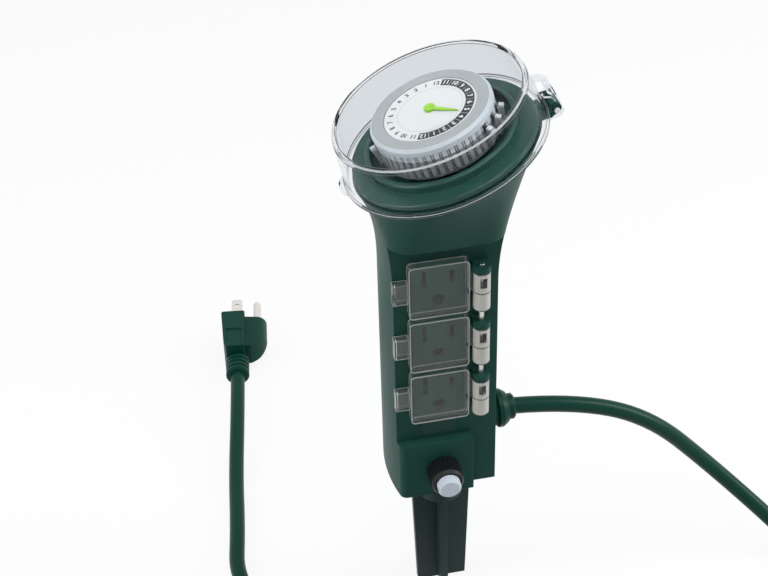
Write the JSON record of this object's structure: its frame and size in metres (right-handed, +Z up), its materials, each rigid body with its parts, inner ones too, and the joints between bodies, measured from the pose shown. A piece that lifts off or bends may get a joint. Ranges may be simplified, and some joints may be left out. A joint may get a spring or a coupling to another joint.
{
  "type": "garden socket spike",
  "caption": "Outdoor socket column on a ground spike, with lidded sockets on both sides, a tilted dial timer under a clear hinged dome, a reset button and a cord with a moulded plug.",
  "frame": {"origin": "on the spike's axis at the soil line, where the resting cord and plug also lie", "axes": "+Z up along the spike; the dial tilts towards -Y; the cord leaves towards +Y; the sockets face +X and -X"},
  "size_m": [0.3798, 0.3058, 0.4395],
  "materials": {
    "green_shell": "fine satin moulded green",
    "cord_green": "soft satin vinyl in a bluer green",
    "clear": "clear polycarbonate",
    "smoke_clear": "clear polycarbonate, slightly smoky",
    "frosted": "frosted translucent plastic",
    "grey": "satin grey",
    "slate": "satin dark grey",
    "white": "white",
    "lime": "bright lime",
    "dark": "dark grey",
    "black": "glossy black",
    "steel": "plated steel",
    "nickel": "nickel plate",
    "brass": "bare brass strip"
  },
  "bodies": {
    "stake": {"housing_right": "green_shell", "housing_left": "green_shell", "housing_screws": "steel", "socket_plate_right": "green_shell", "socket_plate_left": "green_shell", "dial_platform": "green_shell", "dome_hinge_pin": "steel", "dial_spindle": "white", "dial_pointer": "lime", "timer_movement": "dark", "timer_switch": "dark", "reset_breaker": "black", "breaker_nut": "black", "strain_relief": "cord_green", "cord_out": "cord_green", "cord_coil": "cord_green", "cord_in": "cord_green", "plug_body": "cord_green", "plug_blades": "nickel", "plug_earth_pin": "nickel", "ground_spike": "green_shell", "lid_pin_right": "steel", "lid_pin_left": "steel", "earth_contact_right": "brass", "neutral_contact_right": "brass", "live_contact_right": "brass", "earth_contact_left": "brass", "neutral_contact_left": "brass", "live_contact_left": "brass"},
    "dome": {"dome_lid": "clear"},
    "dial": {"dial_drum": "grey", "dial_trippers": "slate", "dial_label": "white"},
    "reset": {"reset_cap": "frosted"},
    "lid_right_1": {"lid_right_1": "smoke_clear"},
    "lid_right_2": {"lid_right_2": "smoke_clear"},
    "lid_right_3": {"lid_right_3": "smoke_clear"},
    "lid_left_1": {"lid_left_1": "smoke_clear"},
    "lid_left_2": {"lid_left_2": "smoke_clear"},
    "lid_left_3": {"lid_left_3": "smoke_clear"}
  },
  "joints": [
    {"name": "dome_hinge", "type": "hinge", "parent": "stake", "child": "dome", "pos_m": [0, 0.05063, 0.27841], "axis": [-1, 0, 0], "range_deg": [0, 110]},
    {"name": "dial_turn", "type": "hinge", "parent": "stake", "child": "dial", "pos_m": [0, -0.00048, 0.27461], "axis": [0, -0.3228, 0.9465], "continuous": true},
    {"name": "reset_press", "type": "slide", "parent": "stake", "child": "reset", "axis": [-1, 0, 0], "range_m": [0, 0.002], "stiffness_N_per_m": 400},
    {"name": "lid_right_1_hinge", "type": "hinge", "parent": "stake", "child": "lid_right_1", "pos_m": [0.02207, 0.01456, 0.19654], "axis": [0, 0, 1], "range_deg": [0, 165]},
    {"name": "lid_right_2_hinge", "type": "hinge", "parent": "stake", "child": "lid_right_2", "pos_m": [0.02207, 0.01456, 0.16563], "axis": [0, 0, 1], "range_deg": [0, 165]},
    {"name": "lid_right_3_hinge", "type": "hinge", "parent": "stake", "child": "lid_right_3", "pos_m": [0.02207, 0.01456, 0.13472], "axis": [0, 0, 1], "range_deg": [0, 165]},
    {"name": "lid_left_1_hinge", "type": "hinge", "parent": "stake", "child": "lid_left_1", "pos_m": [-0.02207, -0.01456, 0.19654], "axis": [0, 0, 1], "range_deg": [0, 165]},
    {"name": "lid_left_2_hinge", "type": "hinge", "parent": "stake", "child": "lid_left_2", "pos_m": [-0.02207, -0.01456, 0.16563], "axis": [0, 0, 1], "range_deg": [0, 165]},
    {"name": "lid_left_3_hinge", "type": "hinge", "parent": "stake", "child": "lid_left_3", "pos_m": [-0.02207, -0.01456, 0.13472], "axis": [0, 0, 1], "range_deg": [0, 165]}
  ]
}
